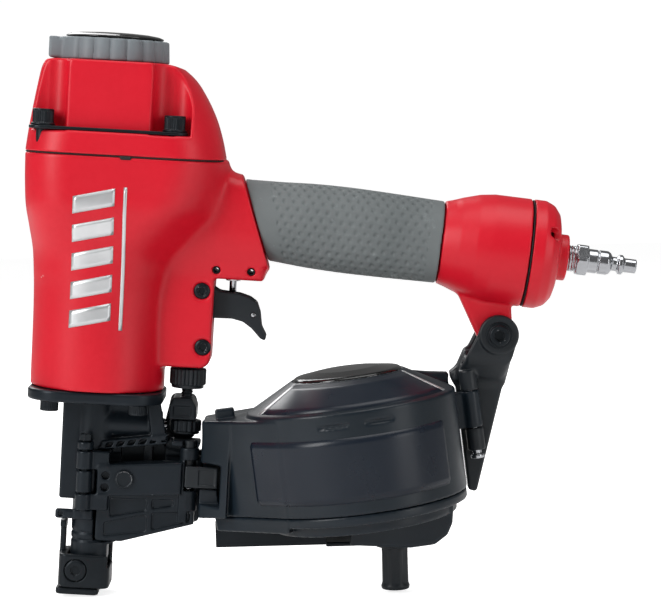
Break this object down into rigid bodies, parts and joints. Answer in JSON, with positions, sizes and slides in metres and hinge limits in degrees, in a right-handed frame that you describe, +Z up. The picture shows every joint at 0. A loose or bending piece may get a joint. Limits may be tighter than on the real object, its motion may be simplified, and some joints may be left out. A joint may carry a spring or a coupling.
{
  "type": "pneumatic nail gun",
  "caption": "Coil roofing nailer: painted housing and cap over a piston drive, rubber grip, trigger, sprung contact foot with depth wheel, feed door and hinged drum magazine",
  "frame": {"origin": "bottom centre of the bounding box, on the work surface that the contact foot stands on", "axes": "+X from the nose towards the air inlet, +Y to the tool's right (the loading side is -Y), +Z up along the drive axis"},
  "size_m": [0.2906, 0.102, 0.2635],
  "materials": {
    "red_paint": "satin powder coat with a fine orange peel",
    "grip_rubber": "matt moulded grip with rows of small dimples",
    "deflector_plastic": "moulded, fluted edge",
    "black_plastic": "fine satin moulding",
    "magazine_plastic": "smooth satin moulding",
    "black_steel": "black oxide",
    "cast_black": "black coated casting",
    "bright_steel": "polished plating",
    "aluminium": "machined",
    "seal_rubber": "moulded"
  },
  "bodies": {
    "frame": {"housing": "red_paint", "head_gasket": "seal_rubber", "head_cap": "red_paint", "bolt_strap_left": "black_steel", "bolt_strap_right": "black_steel", "cap_bolt_front_left": "black_steel", "cap_bolt_rear_left": "black_steel", "cap_bolt_front_right": "black_steel", "cap_bolt_rear_right": "black_steel", "deflector_screw": "black_steel", "cylinder_sleeve": "aluminium", "bumper": "seal_rubber", "head_valve_spring": "bright_steel", "tail_gasket": "seal_rubber", "end_cap": "red_paint", "air_plug": "bright_steel", "grip_sleeve": "grip_rubber", "trigger_valve": "aluminium", "trigger_pivot_pin": "black_steel", "boss_screw": "black_steel", "roll_pin_front": "black_steel", "roll_pin_rear": "black_steel", "contact_spring": "bright_steel", "nose_body": "cast_black", "nose_bolt_front_left": "black_steel", "nose_bolt_front_right": "black_steel", "nose_bolt_rear_left": "black_steel", "nose_bolt_rear_right": "black_steel", "door_hinge_pin": "black_steel", "magazine_body": "magazine_plastic", "support_arm": "black_plastic", "arm_bolt": "black_steel", "cover_hinge_pin": "bright_steel"},
    "deflector": {"deflector": "deflector_plastic", "deflector_cover": "black_steel"},
    "head_valve": {"head_valve": "black_plastic"},
    "drive": {"piston": "aluminium", "driver_blade": "bright_steel"},
    "trigger": {"trigger": "black_plastic", "lever_pin": "bright_steel"},
    "lever": {"trigger_lever": "black_steel"},
    "stem": {"valve_stem": "bright_steel"},
    "contact_rod": {"contact_rod": "black_steel"},
    "depth_wheel": {"depth_wheel": "black_plastic"},
    "contact_foot": {"yoke_nut": "black_steel", "contact_arm": "black_steel", "contact_foot": "black_steel", "wear_pad": "black_steel", "foot_screw": "black_steel"},
    "feed": {"feed_piston": "bright_steel", "feed_pawl": "black_steel"},
    "door": {"feed_door": "cast_black", "pawl_pin": "black_steel", "holding_pawl": "black_steel", "latch_spring": "bright_steel"},
    "latch": {"door_latch": "black_plastic"},
    "cover": {"magazine_cover": "magazine_plastic"},
    "platform": {"nail_platform": "black_plastic"},
    "guide": {"shingle_guide": "black_steel"},
    "knob": {"guide_knob": "black_plastic"}
  },
  "joints": [
    {"name": "deflector_turn", "type": "hinge", "parent": "frame", "child": "deflector", "pos_m": [-0.10599, 0.013, 0.255], "axis": [0, 0, 1], "continuous": true},
    {"name": "head_valve_lift", "type": "slide", "parent": "frame", "child": "head_valve", "axis": [0, 0, 1], "range_m": [0, 0.005], "stiffness_N_per_m": 1500, "springref_m": -0.012, "deforming": ["head_valve_spring"]},
    {"name": "piston_stroke", "type": "slide", "parent": "frame", "child": "drive", "axis": [0, 0, -1], "range_m": [0, 0.062]},
    {"name": "trigger_pull", "type": "hinge", "parent": "frame", "child": "trigger", "pos_m": [-0.05899, 0.013, 0.1461], "axis": [0, -1, 0], "range_deg": [0, 11], "stiffness_Nm_per_rad": 0.6, "springref_deg": -20.05},
    {"name": "lever_swing", "type": "hinge", "parent": "trigger", "child": "lever", "pos_m": [-0.03479, 0.013, 0.1356], "axis": [0, 1, 0], "range_deg": [0, 10.6]},
    {"name": "stem_lift", "type": "slide", "parent": "frame", "child": "stem", "axis": [0, 0, 1], "range_m": [0, 0.0025], "stiffness_N_per_m": 700, "springref_m": -0.005},
    {"name": "contact_push", "type": "slide", "parent": "frame", "child": "contact_rod", "axis": [0, 0, 1], "range_m": [0, 0.008], "stiffness_N_per_m": 1500, "springref_m": -0.024, "deforming": ["contact_spring"]},
    {"name": "depth_turn", "type": "hinge", "parent": "contact_rod", "child": "depth_wheel", "pos_m": [-0.06399, 0.013, 0.104], "axis": [0, 0, 1], "range_deg": [-361, 361]},
    {"name": "depth_set", "type": "slide", "parent": "contact_rod", "child": "contact_foot", "axis": [0, 0, 1], "range_m": [-0.0015, 0.0015]},
    {"name": "feed_stroke", "type": "slide", "parent": "frame", "child": "feed", "axis": [-1, 0, 0], "range_m": [0, 0.005], "stiffness_N_per_m": 400, "springref_m": -0.01},
    {"name": "door_swing", "type": "hinge", "parent": "frame", "child": "door", "pos_m": [-0.10949, 0, 0.055], "axis": [0, 0, -1], "range_deg": [0, 100]},
    {"name": "latch_pull", "type": "slide", "parent": "door", "child": "latch", "axis": [0, 0, -1], "range_m": [0, 0.006], "stiffness_N_per_m": 300, "springref_m": -0.01, "deforming": ["latch_spring"]},
    {"name": "cover_swing", "type": "hinge", "parent": "frame", "child": "cover", "pos_m": [0.07014, 0.009, 0.09719], "axis": [-0.1822, 0, 0.9833], "range_deg": [0, 110]},
    {"name": "platform_height", "type": "slide", "parent": "frame", "child": "platform", "axis": [-0.1822, 0, 0.9833], "range_m": [0, 0.012]},
    {"name": "guide_slide", "type": "slide", "parent": "frame", "child": "guide", "axis": [0.9966, 0, 0.0819], "range_m": [-0.01, 0.01]},
    {"name": "knob_turn", "type": "hinge", "parent": "frame", "child": "knob", "pos_m": [0.03701, -0.002, 0.034], "axis": [-0.0819, 0, 0.9966], "continuous": true}
  ],
  "couplings": [
    {"joint": "lever_swing", "follows": "contact_push", "rad_per_m": 22.907},
    {"joint": "depth_turn", "follows": "depth_set", "rad_per_m": 4188.8}
  ]
}
